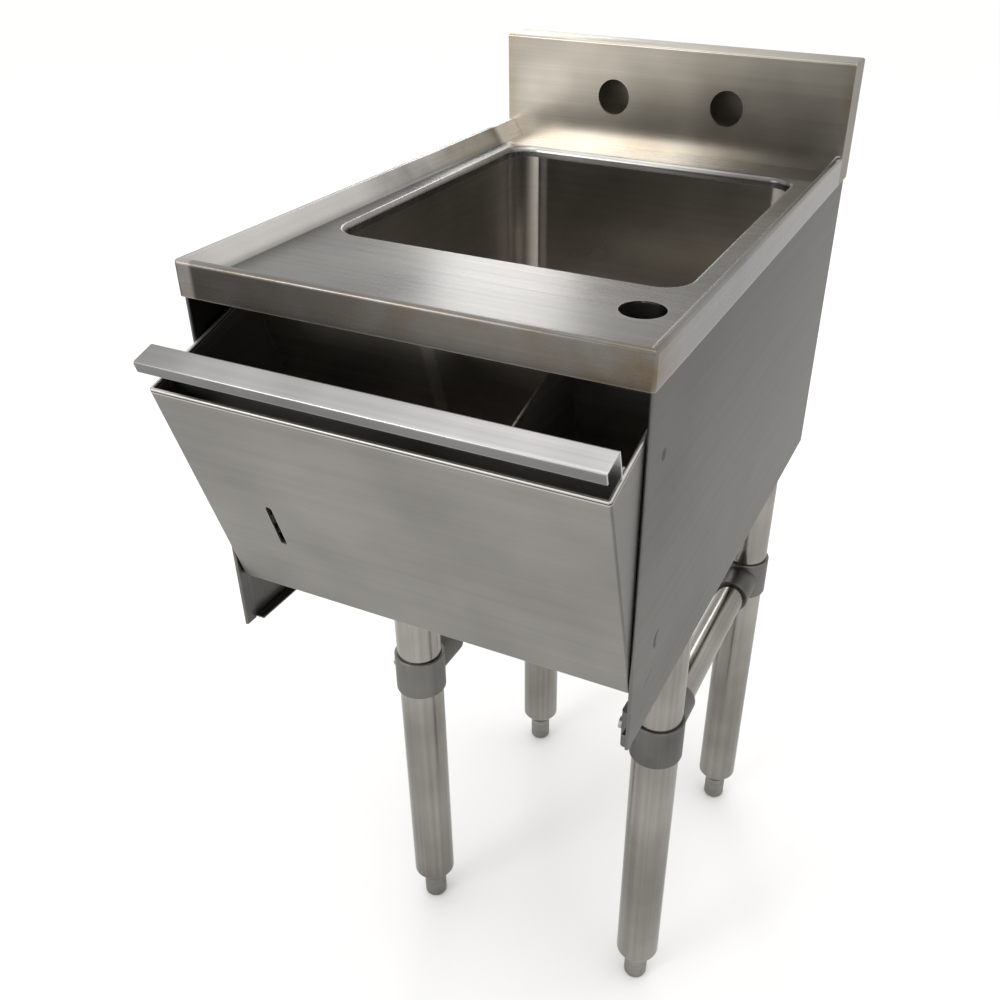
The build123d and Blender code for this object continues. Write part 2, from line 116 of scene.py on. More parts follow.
def strongest(tree, first, *others):
    for other in others:
        first = sum_of(tree, "MAXIMUM", first, other)
    return first


def apart(tree, value, centre=0.0):
    return sum_of(tree, "ABSOLUTE", sum_of(tree, "SUBTRACT", value, centre))


def mixed(tree, share, a, b):
    return add_node(tree, "ShaderNodeMix", settings={"data_type": "FLOAT"}, i0=share, i2=a, i3=b)


def blended(tree, share, factor):
    return sum_of(tree, "ADD", 1.0, product(tree, share, sum_of(tree, "SUBTRACT", factor, 1.0)))


# %% [markdown]
# ## Ramps
# A mask says where something holds, from 0 to 1. It is made of ramps: `spread` is a straight one,
# `soft_spread` eases in and out, and `rise`, `fall` and `band` are the soft ones used most. A noise
# mostly stays between 0.3 and 0.7, and `varied` stretches that to the range that a finish needs.


# %% Ramps
def spread(tree, value, low, high, to_low, to_high):
    return add_node(tree, "ShaderNodeMapRange", i0=value, i1=low, i2=high, i3=to_low, i4=to_high)


def soft_spread(tree, value, low, high, to_low, to_high):
    return add_node(tree, "ShaderNodeMapRange", settings={"interpolation_type": "SMOOTHSTEP"},
                    i0=value, i1=low, i2=high, i3=to_low, i4=to_high)


def varied(tree, noise, least, most):
    return spread(tree, noise, 0.3, 0.7, least, most)


def rise(tree, value, low, high, top=1.0):
    return soft_spread(tree, value, low, high, 0.0, top)


def fall(tree, value, low, high, top=1.0):
    return soft_spread(tree, value, low, high, top, 0.0)


def band(tree, value, start, full, fading, end, top=1.0):
    return product(tree, rise(tree, value, start, full, top), fall(tree, value, fading, end))


def line_at(tree, value, centre, half_line, strength):
    return fall(tree, apart(tree, value, centre), half_line * 0.6, half_line * 1.3, strength)


# %% [markdown]
# ## Places on a piece
# The masks read the piece's own Object coordinates, so they stay put when a body moves. Only the
# handle's mask and the worn edges also ask which way a face looks.


# %% Places
def place_of(tree):
    return add_node(tree, "ShaderNodeTexCoord", out=3)


def axis_of(tree, axis, vector=None):
    split = tree.nodes.new("ShaderNodeSeparateXYZ")
    feed(tree, split.inputs[0], vector or place_of(tree))
    return split.outputs["XYZ".index(axis)]


def vector_sum(tree, how, a, b, out=0):
    return add_node(tree, "ShaderNodeVectorMath", out=out, settings={"operation": how}, i0=a, i1=b)


def distance_to(tree, point):
    return vector_sum(tree, "DISTANCE", place_of(tree), tuple(point), out=1)


def along_from(tree, origin, direction):
    away = vector_sum(tree, "SUBTRACT", place_of(tree), tuple(origin))
    return vector_sum(tree, "DOT_PRODUCT", away, tuple(direction), out=1)


def patch(tree, point, radius):
    return fall(tree, distance_to(tree, point), radius * 0.6, radius)


# %% [markdown]
# ## Which way the sheet was sanded
# Satin stainless is sanded in one direction, and its scratches are very long and very thin. An image
# of scratches would have to be laid on every sheet by hand. A noise that changes fast across the
# grain and slowly along it needs no such layout, and gives hairlines and broader belt marks. Slow
# clouds on top show where the belt pressed harder.

# %% Rates of the sanding marks, in waves per metre
hair_rates = (1600.0, 5.0)
belt_rates = (210.0, 2.2)
cloud_rate = 9.0


# %% Sanding marks
def marks(tree, along, rates):
    across_grain, along_grain = rates
    scale = tuple(along_grain if axis in along else across_grain for axis in "XYZ")
    stretched = add_node(tree, "ShaderNodeMapping", i0=place_of(tree), i3=scale)
    return add_node(tree, "ShaderNodeTexNoise", i0=stretched, i2=1.0, i3=2.0)


def clouds(tree, rate, shift=0.0):
    moved = add_node(tree, "ShaderNodeMapping", i0=place_of(tree), i1=(shift, shift, shift))
    return add_node(tree, "ShaderNodeTexNoise", i0=moved, i2=rate, i3=3.0)


def blotches(tree, rate, shift, least):
    return spread(tree, clouds(tree, rate, shift), 0.35, 0.65, least, 1.0)


# Brightens rounded edges: partly real wear, partly a painted highlight.
def worn_and_highlit_edge(tree, radius, strength):
    rounded = add_node(tree, "ShaderNodeBevel", settings={"samples": 4}, i0=radius)
    flat = add_node(tree, "ShaderNodeNewGeometry", out=1)
    turned_away = vector_sum(tree, "DOT_PRODUCT", rounded, flat, out=1)
    return spread(tree, turned_away, 0.995, 0.86, 0.0, strength)


def toward(axis):
    return tuple(1.0 if letter == axis else 0.03 for letter in "XYZ")


# %% [markdown]
# The deck is one sheet with welded corners. Its side edges are sanded along their own length, so
# the grain turns at a mitre line, where a point is nearer to the side than to the front.


# %% Mitred corners of the deck
def mitred(tree):
    from_side = sum_of(tree, "SUBTRACT", half_width, apart(tree, axis_of(tree, "X")))
    from_front = sum_of(tree, "SUBTRACT", axis_of(tree, "Y"), apron_y)
    return product(tree, sum_of(tree, "LESS_THAN", from_side, rim_reach + 1 * mm),
                   sum_of(tree, "LESS_THAN", from_side, from_front))


# %% [markdown]
# ## The steel itself
# All the sheets share one recipe. The tone is how much light the steel gives back, and the gloss is
# its roughness. `along` names the axes that the scratches follow. `pull` is the axis that draws out
# the highlights, and without it they are drawn across the scratches. `streaks`, `cloudy` and `grit`
# say how uneven the sheet is, the edge mask brightens rubbed edges with real wear and a painted
# highlight, and `glance` dims what it mirrors at a flat angle. `tint` and `matte` are masks of its
# own. So are two that paint light into the colour: painted light and shade that scale it, and
# polish with painted highlights that is added to it.

# %% Shared by the steels
heat_brown = (0.80, 0.62, 0.42, 1.0)
edge_radius = 1.4 * mm
scratch_depth = 0.02 * mm


# %% Steel recipe
def steel(name, tone, gloss, along="X", turned_at=None, streaks=0.16, cloudy=0.2, edge_wear_and_highlight=0.5,
          grit=0.03, draw=0.55, tint=None, painted_light_and_shade=None, polish_and_highlight=None, matte=None, pull=None,
          glance=0.8):
    material = bpy.data.materials.new(name)
    material.use_nodes = True
    tree = material.node_tree
    shader = tree.nodes["Principled BSDF"]

    hair = marks(tree, along, hair_rates)
    belt = marks(tree, along, belt_rates)
    grain = toward(along)
    if turned_at:
        at_side = turned_at(tree)
        hair = mixed(tree, at_side, hair, marks(tree, "Y", hair_rates))
        belt = mixed(tree, at_side, belt, marks(tree, "Y", belt_rates))
        grain = add_node(tree, "ShaderNodeMix", out=1, settings={"data_type": "VECTOR"},
                         i0=at_side, i4=grain, i5=toward("Y"))
    cloud = clouds(tree, cloud_rate)
    edge = worn_and_highlit_edge(tree, edge_radius, edge_wear_and_highlight)

    light = product(tree, varied(tree, belt, 1 - streaks, 1 + streaks), varied(tree, hair, 0.95, 1.05),
                    soft_spread(tree, cloud, 0.2, 0.8, 1 - 1.5 * cloudy, 1 + 1.5 * cloudy))
    # Painted light and shade scale the colour here; edge wear with its painted highlight, polish and painted
    # highlights are added after it.
    if painted_light_and_shade:
        light = product(tree, light, painted_light_and_shade(tree))
    light = sum_of(tree, "ADD", light, edge)
    if polish_and_highlight:
        light = sum_of(tree, "ADD", light, polish_and_highlight(tree))
    colour = add_node(tree, "ShaderNodeVectorMath", settings={"operation": "SCALE"}, i0=tone, i3=light)
    if tint:
        colour = add_node(tree, "ShaderNodeMix", out=2,
                          settings={"data_type": "RGBA", "blend_type": "MULTIPLY"},
                          i0=tint(tree), i6=colour, i7=heat_brown)
    feed(tree, shader.inputs["Base Color"], colour)

    rough = sum_of(tree, "ADD", varied(tree, hair, gloss - grit, gloss + grit),
                   soft_spread(tree, cloud, 0.2, 0.8, -0.03, 0.03))
    rough = sum_of(tree, "SUBTRACT", rough, product(tree, edge, 0.1))
    shader.inputs["Metallic"].default_value = 1.0
    if matte:
        dull = matte(tree)
        feed(tree, shader.inputs["Metallic"], sum_of(tree, "SUBTRACT", 1.0, dull, clamp=True))
        rough = sum_of(tree, "ADD", rough, product(tree, dull, 0.4), clamp=True)
    feed(tree, shader.inputs["Roughness"], rough)

    bump = add_node(tree, "ShaderNodeBump", i0=0.07, i1=scratch_depth, Height=hair)
    feed(tree, shader.inputs["Normal"], bump)
    if pull:
        feed(tree, shader.inputs["Tangent"], toward(pull))
    else:
        facing = add_node(tree, "ShaderNodeNewGeometry", out=1)
        feed(tree, shader.inputs["Tangent"], vector_sum(tree, "CROSS_PRODUCT", facing, grain))
    shader.inputs["Anisotropic"].default_value = draw
    shader.inputs["Specular Tint"].default_value = (glance, glance, glance, 1.0)
    return material


# %% [markdown]
# ## The deck's masks
# The deck is welded to the splash and at its mitred corners, then ground. The heat still shows as a
# straw to brown bloom along the splash, on the apron, and most of all at the front right corner. The
# left rim is rubbed bright by hands, with a painted highlight on the same patches, and the crest of
# the right rim near its weld to the splash has a painted glitter of highlight. The rest of the deck's
# light is painted too. Painted shade deepens from left to right across the flat. The ledge behind the
# bowl has a painted highlight on the left and painted shade on the right. The apron and the right
# outer face have painted shade, the apron darkest at its left.


# %% Masks of the deck
def seam_bloom(tree):
    y = axis_of(tree, "Y")
    corner = (half_width - 12 * mm, apron_y, deck_low.z + 4 * mm)
    near_wall = rise(tree, y, splash_y - 9 * mm, splash_y, 0.15)
    near_corner = fall(tree, distance_to(tree, corner), 8 * mm, 50 * mm)
    on_apron = fall(tree, y, apron_y + 0.8 * mm, apron_y + 2.2 * mm, 0.5)
    return product(tree, strongest(tree, near_wall, near_corner, on_apron), blotches(tree, 45.0, 0.3, 0.3))


# Real rubbing on the left rim's slope with a painted highlight on it, and a painted glitter on the right
# rim's crest.
def rubbed_and_highlit_rim(tree):
    x = axis_of(tree, "X")
    left = -half_width
    slope = band(tree, x, left + 1 * mm, left + 3 * mm, left + rim_reach - 3 * mm, left + rim_reach + 1 * mm)
    patches = spread(tree, clouds(tree, 14.0, 2.1), 0.42, 0.62, 0.0, 0.6)
    hand_rest = (left + 7 * mm, apron_y + 105 * mm, rim_z - 5 * mm)
    bare = fall(tree, distance_to(tree, hand_rest), 65 * mm, 150 * mm, 0.8)
    handled = product(tree, slope, strongest(tree, patches, bare))
    crest = band(tree, x, half_width - 4 * mm, half_width - 3 * mm,
                 half_width - 1.2 * mm, half_width - 0.6 * mm)
    near_weld = rise(tree, axis_of(tree, "Y"), splash_y - 30 * mm, splash_y - 4 * mm)
    painted_glitter = spread(tree, clouds(tree, 260.0, 0.9), 0.45, 0.6, 0.0, 2.0)
    return sum_of(tree, "ADD", handled, product(tree, crest, near_weld, painted_glitter))


# Painted light and shade for the deck: darker to the right, a painted highlight on the ledge's left, painted
# shade on the apron and the right outer face.
def deck_painted_light(tree):
    x = axis_of(tree, "X")
    y = axis_of(tree, "Y")
    flat = spread(tree, x, -half_width, half_width, 0.68, 0.47)
    ledge_highlight = soft_spread(tree, x, -10 * mm, 95 * mm, 2.8, 0.17)
    apron = spread(tree, x, -half_width, half_width, 0.14, 0.50)
    on_ledge = product(tree, rise(tree, y, bowl_rear - 6 * mm, bowl_rear + 6 * mm),
                       rise(tree, x, -half_width + 0.8 * mm, -half_width + 2 * mm))
    on_apron = product(tree, fall(tree, y, apron_y + 0.8 * mm, apron_y + 2.2 * mm),
                       fall(tree, axis_of(tree, "Z"), rim_z - 3.2 * mm, rim_z - 1.8 * mm))
    on_right_side = rise(tree, x, half_width - 1.6 * mm, half_width - 0.6 * mm)
    value = mixed(tree, on_ledge, flat, ledge_highlight)
    value = mixed(tree, on_apron, value, apron)
    return mixed(tree, on_right_side, value, 0.62)


# %% [markdown]
# ## The splash's masks
# The splash is warm along its foot and at its ends, where it was welded. Its light is painted: it is
# brightest at its middle, has a painted highlight in a spot near its left end, and falls off to the
# right. Its inner side and its end caps have painted shade.


# %% Masks of the splash
def splash_bloom(tree):
    foot = soft_spread(tree, axis_of(tree, "Z"), deck_z, deck_z + 22 * mm, 0.4, 0.05)
    ends = rise(tree, apart(tree, axis_of(tree, "X")), half_width - 14 * mm, half_width, 0.5)
    return product(tree, strongest(tree, foot, ends), blotches(tree, 38.0, 0.7, 0.2))


# Painted light on the splash: a bright middle and a painted highlight spot, with painted shade to the right,
# on the inner side and on the end caps.
def splash_painted_light(tree):
    x = axis_of(tree, "X")
    from_middle = apart(tree, x)
    across = sum_of(tree, "MINIMUM", spread(tree, x, -half_width, 0.0, 1.08, 1.2),
                    spread(tree, x, 0.1 * half_width, half_width, 1.2, 0.48))
    painted_highlight_spot = (-half_width + 38 * mm, splash_y, deck_z + 48 * mm)
    across = sum_of(tree, "ADD", across, fall(tree, distance_to(tree, painted_highlight_spot), 8 * mm, 34 * mm, 0.25))
    on_cap = rise(tree, from_middle, half_width - 0.5 * mm, half_width - 0.2 * mm)
    across = mixed(tree, on_cap, across, 0.45)
    painted_inside = rise(tree, axis_of(tree, "Y"), splash_y + 0.6 * mm, splash_y + 1.4 * mm)
    for value, skin in ((axis_of(tree, "Y"), splash_high.y), (axis_of(tree, "Z"), splash_high.z),
                        (from_middle, half_width)):
        painted_inside = product(tree, painted_inside, fall(tree, value, skin - 0.9 * mm, skin - 0.5 * mm))
    return product(tree, across, blended(tree, painted_inside, 0.55))


# %% [markdown]
# ## The bowl's masks
# The bowl's rear corners have painted highlights in upright lines, where the bowl catches the light:
# a soft one that ends sharply on the left, a faint echo beside it, and a weaker one on the right.
# The masks make the sheet paler and less metallic there, because bare metal in a bowl mirrors only
# the bowl's own dark walls. The rear wall has painted shade that grows darker towards its top.


# %% Masks of the bowl
# Painted highlight lines in the bowl's rear corners.
def bowl_highlight_lines(tree):
    x = axis_of(tree, "X")
    inner_face = band(tree, axis_of(tree, "Y"), bowl_rear - 24 * mm, bowl_rear - 20 * mm,
                      bowl_rear - 0.8 * mm, bowl_rear - 0.4 * mm)
    left = band(tree, x, -117 * mm, -105.5 * mm, -104.6 * mm, -102.6 * mm, 0.72)
    echo = fall(tree, apart(tree, x, -98.5 * mm), 1 * mm, 5 * mm, 0.18)
    right = product(tree, rise(tree, x, 106 * mm, 109.5 * mm, 0.42),
                    soft_spread(tree, x, 112 * mm, 118 * mm, 1.0, 0.75))
    return product(tree, strongest(tree, left, echo, right), inner_face)


def bowl_painted_highlight(tree):
    return product(tree, bowl_highlight_lines(tree), 1.6)


def bowl_matte(tree):
    return product(tree, bowl_highlight_lines(tree), 0.8)


# Painted shade on the bowl's rear wall, lighter low down and darker towards its top.
def bowl_painted_shade(tree):
    on_rear = rise(tree, axis_of(tree, "Y"), bowl_rear - 14 * mm, bowl_rear - 3 * mm)
    upward = spread(tree, axis_of(tree, "Z"), deck_z - 110 * mm, deck_z - 15 * mm, 1.18, 0.70)
    return blended(tree, on_rear, upward)


# %% [markdown]
# ## The bin's masks
# The bin is modelled standing open, so its masks measure along its own tilted height and depth,
# from the hinge. The hem has two painted highlights with painted shade in the crease between them,
# and the sheet behind the front face gets a faint painted lift. Both side walls have painted shade,
# the right wall has a patch of painted shade at a small dent, and the back wall has a pale weld
# seam. The handle's light is painted too: its top is brighter than its lip and darker towards its
# left end, and the sheet behind its finger pocket keeps its full tone.

# %% The bin's own directions
bin_tilt = radians(17)
bin_up = (0, -sin(bin_tilt), cos(bin_tilt))
bin_back = (0, cos(bin_tilt), sin(bin_tilt))
bin_front = (0, -cos(bin_tilt), -sin(bin_tilt))
bin_top = 163.5 * mm
hinge = Vector((0, (hinge_low.y + hinge_high.y) / 2, (hinge_low.z + hinge_high.z) / 2))


# %% Masks of the bin
def below_bin_top(tree):
    return sum_of(tree, "SUBTRACT", bin_top, along_from(tree, hinge, bin_up))


# Painted highlights on the hem, and a faint painted lift behind the bin's front face.
def bin_hem_highlights(tree):
    below = below_bin_top(tree)
    fold_highlights = sum_of(tree, "ADD", line_at(tree, below, 0.0, 1.0 * mm, 1.1),
                  line_at(tree, below, 2.5 * mm, 0.5 * mm, 1.0))
    painted_inside = rise(tree, along_from(tree, hinge, bin_back), -41.2 * mm, -40.9 * mm, 0.18)
    return sum_of(tree, "ADD", fold_highlights, painted_inside)


# Painted shade on the bin's side walls, at its dent and in the hem's crease.
def bin_painted_shade(tree):
    on_side = rise(tree, apart(tree, axis_of(tree, "X")), bin_half - 1.6 * mm, bin_half - 0.4 * mm)
    crease_shade = line_at(tree, below_bin_top(tree), 1.5 * mm, 0.5 * mm, 0.65)
    dent_shade = patch(tree, (bin_half, -188.7 * mm, 652.5 * mm), 3.2 * mm)
    body = product(tree, blended(tree, on_side, 0.60), blended(tree, dent_shade, 0.3))
    return sum_of(tree, "SUBTRACT", body, crease_shade, clamp=True)


def back_wall_weld(tree):
    return fall(tree, apart(tree, axis_of(tree, "X"), -20.5 * mm), 2.5 * mm, 6.5 * mm, 0.45)


# Painted light on the handle: a darker lip, and a top that is darker at its left end.
def handle_painted_light(tree):
    facing = add_node(tree, "ShaderNodeNewGeometry", out=1)
    faces_front = rise(tree, vector_sum(tree, "DOT_PRODUCT", facing, bin_front, out=1), 0.6, 0.9)
    behind_pocket = rise(tree, along_from(tree, hinge, bin_back), -39 * mm, -37 * mm)
    top = soft_spread(tree, axis_of(tree, "X"), -half_width, -half_width + 80 * mm, 0.50, 0.93)
    return mixed(tree, faces_front, top, mixed(tree, behind_pocket, 0.36, 1.0))


# %% [markdown]
# ## The side panels' masks
# The right-hand panel has three small marks near its front edge: the dimple of a fastener, drawn as
# a darker spot, a crescent of painted shadow with a lit side where the bin's stud goes in, and a
# scratch below it. The scratch's mask reads only depth and height, so the left-hand panel has that
# one too. Both panels have painted shade on their inner faces and towards the top.


# %% Masks of the side panels
# Marks on the panels: a fastener's darker spot, a scratch, and a crescent of painted shadow.
def panel_marks_and_shadow(tree):
    fastener = patch(tree, (half_width, -185.5 * mm, 690.4 * mm), 4.8 * mm)
    pressed = patch(tree, (half_width, -169.0 * mm, 548.7 * mm), 8.0 * mm)
    lit_side = patch(tree, (half_width, -163.5 * mm, 547.5 * mm), 8.5 * mm)
    crescent_shadow = product(tree, pressed, sum_of(tree, "SUBTRACT", 1.0, lit_side))
    middle = (half_width, -181.0 * mm, 524.2 * mm)
    run = Vector((0, -15.9, -8.5)).normalized()
    reach = fall(tree, apart(tree, along_from(tree, middle, run)), 6 * mm, 9 * mm)
    aside = along_from(tree, middle, (0, -run.z, run.y))
    scratch = product(tree, reach, line_at(tree, aside, 0.0, 1.0 * mm, 0.5))
    return strongest(tree, fastener, crescent_shadow, scratch)


# Painted shade on the panels' inner faces, towards the top, and at the marks.
def panel_painted_shade(tree):
    inner_face_shade = soft_spread(tree, apart(tree, axis_of(tree, "X")), panel_face - 0.8 * mm,
                             panel_face - 0.3 * mm, 0.82, 1.0)
    upward = spread(tree, axis_of(tree, "Z"), 560 * mm, 740 * mm, 1.0, 0.75)
    return product(tree, inner_face_shade, upward, blended(tree, panel_marks_and_shadow(tree), 0.35))


# %% [markdown]
# ## One finish per sheet
# The deck and splash are bright satin, the bowl is deep drawn, the panels are duller mill finish,
# the collars are cast, and the legs are polished tube with upright grain.

# %% Make the finishes
finishes = {
    "deck_steel": steel("deck_satin_steel", (0.335, 0.328, 0.318), 0.28, "X", mitred, streaks=0.07,
                        cloudy=0.14, tint=seam_bloom, polish_and_highlight=rubbed_and_highlit_rim, painted_light_and_shade=deck_painted_light),
    "bowl_steel": steel("bowl_drawn_steel", (0.425, 0.402, 0.37), 0.30, "XY", streaks=0.04,
                        cloudy=0.15, edge_wear_and_highlight=0.2, grit=0.0, pull="Z", polish_and_highlight=bowl_painted_highlight,
                        matte=bowl_matte, painted_light_and_shade=bowl_painted_shade),
    "panel_steel": steel("panel_mill_steel", (0.165, 0.162, 0.155), 0.40, "Y", streaks=0.05,
                         cloudy=0.12, edge_wear_and_highlight=0.3, glance=0.66, painted_light_and_shade=panel_painted_shade, matte=panel_marks_and_shadow),
    "bin_steel": steel("bin_satin_steel", (0.228, 0.222, 0.208), 0.36, "XY", streaks=0.04,
                       cloudy=0.12, pull="Z", polish_and_highlight=bin_hem_highlights, painted_light_and_shade=bin_painted_shade),
    "handle_steel": steel("handle_satin_steel", (0.47, 0.465, 0.465), 0.32, "X", streaks=0.07,
                          cloudy=0.15, edge_wear_and_highlight=0.2, painted_light_and_shade=handle_painted_light),
    "frame_steel": steel("frame_mill_steel", (0.27, 0.265, 0.25), 0.42, "XY", streaks=0.1, pull="Z"),
    "cast_steel": steel("collar_cast_steel", (0.125, 0.122, 0.115), 0.44, "Z", streaks=0.05,
                        cloudy=0.3, draw=0.0),
    "tube_steel": steel("leg_tube_steel", (0.245, 0.236, 0.214), 0.20, "Z", streaks=0.12, draw=0.6,
                        pull="Z"),
    "foot_steel": steel("foot_turned_steel", (0.22, 0.215, 0.20), 0.33, "X", streaks=0.1, draw=0.3),
    "screw_steel": steel("screw_steel", (0.30, 0.30, 0.29), 0.35, "X", streaks=0.1, draw=0.0),
    "drain_steel": steel("drain_polished_steel", (0.45, 0.44, 0.42), 0.20, "X", streaks=0.08, draw=0.3),
}
# The bin's floor and divider get a paler copy of the bin's satin steel, painted lighter to stand in for
# light inside the bin.
inner_bin_painted_lighter = steel("bin_inner_steel_painted_lighter", (0.53, 0.50, 0.455), 0.34, "XY", streaks=0.06,
                         cloudy=0.15, pull="Z", polish_and_highlight=back_wall_weld)
splash_finish = steel("splash_satin_steel", (0.46, 0.43, 0.375), 0.30, "XY", streaks=0.05,
                      cloudy=0.16, grit=0.005, pull="Z", tint=splash_bloom, painted_light_and_shade=splash_painted_light)
rail_finish = steel("rail_tube_steel", (0.245, 0.236, 0.214), 0.20, "Y", streaks=0.12, draw=0.6,
                    pull="Y")
print("steel finishes", len(finishes) + 3)

# %% [markdown]
# ## Rubber and brass under the bowl
# The gasket and the slip washer are moulded rubber, and the drain's two nuts are rough cast brass.
# Both are plain grainy materials with a fine bump.


# %% Rubber and brass
def grainy(name, colour, gloss, metal, rate, depth):
    material = bpy.data.materials.new(name)
    material.use_nodes = True
    tree = material.node_tree
    shader = tree.nodes["Principled BSDF"]
    grain = add_node(tree, "ShaderNodeTexNoise", i0=place_of(tree), i2=rate, i3=4.0)
    cloud = clouds(tree, 30.0)
    light = product(tree, varied(tree, cloud, 0.75, 1.2), varied(tree, grain, 0.9, 1.1))
    feed(tree, shader.inputs["Base Color"],
         add_node(tree, "ShaderNodeVectorMath", settings={"operation": "SCALE"}, i0=colour, i3=light))
    feed(tree, shader.inputs["Roughness"], varied(tree, cloud, gloss - 0.08, gloss + 0.08))
    feed(tree, shader.inputs["Normal"], add_node(tree, "ShaderNodeBump", i0=0.6, i1=depth, Height=grain))
    shader.inputs["Metallic"].default_value = metal
    return material


finishes["rubber"] = grainy("drain_rubber", (0.03, 0.03, 0.032), 0.7, 0.0, 900.0, 0.05 * mm)
finishes["brass"] = grainy("nut_brass", (0.50, 0.36, 0.16), 0.42, 1.0, 1100.0, 0.05 * mm)

# %% Put the finishes on the CAD pieces
own_finish = {"backsplash": splash_finish, "bin_floor": inner_bin_painted_lighter, "bin_divider": inner_bin_painted_lighter,
              "side_rail_left": rail_finish, "side_rail_right": rail_finish}
for part in frame["record"]["subparts"]:
    finish = own_finish.get(part["node"]) or finishes[part["material_slot"]]
    for place in frame["nodes"][part["node"]].material_slots:
        place.material = finish

# %% [markdown]
# ## Two node groups for what is laid in rows
# Weld beads and screw threads both start as one small shape that is laid on points, made real and
# given its metal. These helpers open such a group with its named inputs, wire nodes together, and
# close the group.


# %% Helpers for geometry nodes
def open_group(name, start, measures, result):
    tree = bpy.data.node_groups.new(name, "GeometryNodeTree")
    face = tree.interface
    face.new_socket(start, in_out="INPUT", socket_type="NodeSocketGeometry")
    inputs = {}
    for title in measures:
        inputs[title] = face.new_socket(title, in_out="INPUT", socket_type="NodeSocketFloat").identifier
    inputs["Metal"] = face.new_socket("Metal", in_out="INPUT", socket_type="NodeSocketMaterial").identifier
    face.new_socket(result, in_out="OUTPUT", socket_type="NodeSocketGeometry")
    return tree, inputs, tree.nodes.new("NodeGroupInput")


def wire(tree, *pairs):
    for source, target in pairs:
        tree.links.new(source, target)


def lay_and_close(tree, given, points, shape):
    lay = tree.nodes.new("GeometryNodeInstanceOnPoints")
    fuse = tree.nodes.new("GeometryNodeRealizeInstances")
    coat = tree.nodes.new("GeometryNodeSetMaterial")
    result = tree.nodes.new("NodeGroupOutput")
    wire(tree, (points, lay.inputs["Points"]), (shape, lay.inputs["Instance"]),
         (lay.outputs[0], fuse.inputs[0]), (fuse.outputs[0], coat.inputs["Geometry"]),
         (given.outputs["Metal"], coat.inputs["Material"]), (coat.outputs[0], result.inputs[0]))
    return lay


# %% [markdown]
# ## Weld beads
# A hand-laid bead is a row of overlapping puddles. Geometry Nodes can lay it along any path: the
# curve is cut into even steps, a small droplet is set on each, a little larger or smaller than the
# last, and the row becomes one mesh. The same tree serves every seam, so the puddle size is an
# input.


# %% A tree that lays beads along a curve
def bead_tree():
    tree, inputs, given = open_group("weld_bead_row", "Path", ("Pitch", "Puddle radius"), "Row")
    curve = tree.nodes.new("GeometryNodeMeshToCurve")
    steps = tree.nodes.new("GeometryNodeCurveToPoints")
    steps.mode = "LENGTH"
    drop = tree.nodes.new("GeometryNodeMeshIcoSphere")
    drop.inputs["Subdivisions"].default_value = 2
    uneven = tree.nodes.new("FunctionNodeRandomValue")
    uneven.inputs[2].default_value = 0.85
    uneven.inputs[3].default_value = 1.15
    uneven.inputs["Seed"].default_value = 7
    wire(tree, (given.outputs["Path"], curve.inputs["Mesh"]), (curve.outputs[0], steps.inputs["Curve"]),
         (given.outputs["Pitch"], steps.inputs["Length"]),
         (given.outputs["Puddle radius"], drop.inputs["Radius"]))
    lay = lay_and_close(tree, given, steps.outputs["Points"], drop.outputs["Mesh"])
    wire(tree, (uneven.outputs[1], lay.inputs["Scale"]))
    return tree, inputs


bead_group = bead_tree()


# %% [markdown]
# ## From a modifier to a plain mesh
# A path is a mesh of points and edges. The modifier's inputs are set by identifier before the piece
# is first looked at. The evaluated result is then copied into a mesh of its own, because only plain
# meshes travel with the model.


# %% Bake a modifier
def linked(name, data):
    thing = bpy.data.objects.new(name, data)
    bpy.context.scene.collection.objects.link(thing)
    return thing


def path_object(name, paths, closed=False):
    mesh = bpy.data.meshes.new(name)
    corners = []
    edges = []
    for points in paths:
        first = len(corners)
        corners += [tuple(point) for point in points]
        edges += [(first + k, first + k + 1) for k in range(len(points) - 1)]
        if closed:
            edges.append((first + len(points) - 1, first))
    mesh.from_pydata(corners, edges, [])
    return linked(name, mesh)


def evaluated(path, group, values):
    tree, inputs = group
    modifier = path.modifiers.new("nodes", "NODES")
    modifier.node_group = tree
    for title, value in values.items():
        modifier[inputs[title]] = value
    seen = path.evaluated_get(bpy.context.evaluated_depsgraph_get())
    mesh = bpy.data.meshes.new_from_object(seen)
    path.modifiers.remove(modifier)
    return mesh


def grown(path, group, values, body):
    path.data = evaluated(path, group, values)
    for polygon in path.data.polygons:
        polygon.use_smooth = True
    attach(path, body)
    print(path.name, "has", len(path.data.polygons), "faces")


# %% One weld
weld_finish = steel("weld_bead_steel", (0.36, 0.33, 0.28), 0.36, "X", streaks=0.05, cloudy=0.3, draw=0.0)


def weld(name, seams, bead_pitch, bead_radius, closed=False):
    grown(path_object(name, seams, closed), bead_group,
          {"Pitch": bead_pitch, "Puddle radius": bead_radius, "Metal": weld_finish}, "sink")


# %% Beads round the leg sockets
corners_of_unit = ("front_left", "front_right", "rear_left", "rear_right")
ring_points = 48


def circle(middle, radius, count):
    turns = [tau * k / count for k in range(count)]
    return [middle + Vector((radius * cos(turn), radius * sin(turn), 0)) for turn in turns]


socket_rings = []
for place in corners_of_unit:
    low, high = box_of("leg_socket_" + place)
    middle = Vector(((low.x + high.x) / 2, (low.y + high.y) / 2, high.z - 0.4 * mm))
    socket_rings.append(circle(middle, (high.x - low.x) / 2 + 0.2 * mm, ring_points))
weld("socket_welds", socket_rings, 1.7 * mm, 1.2 * mm, closed=True)

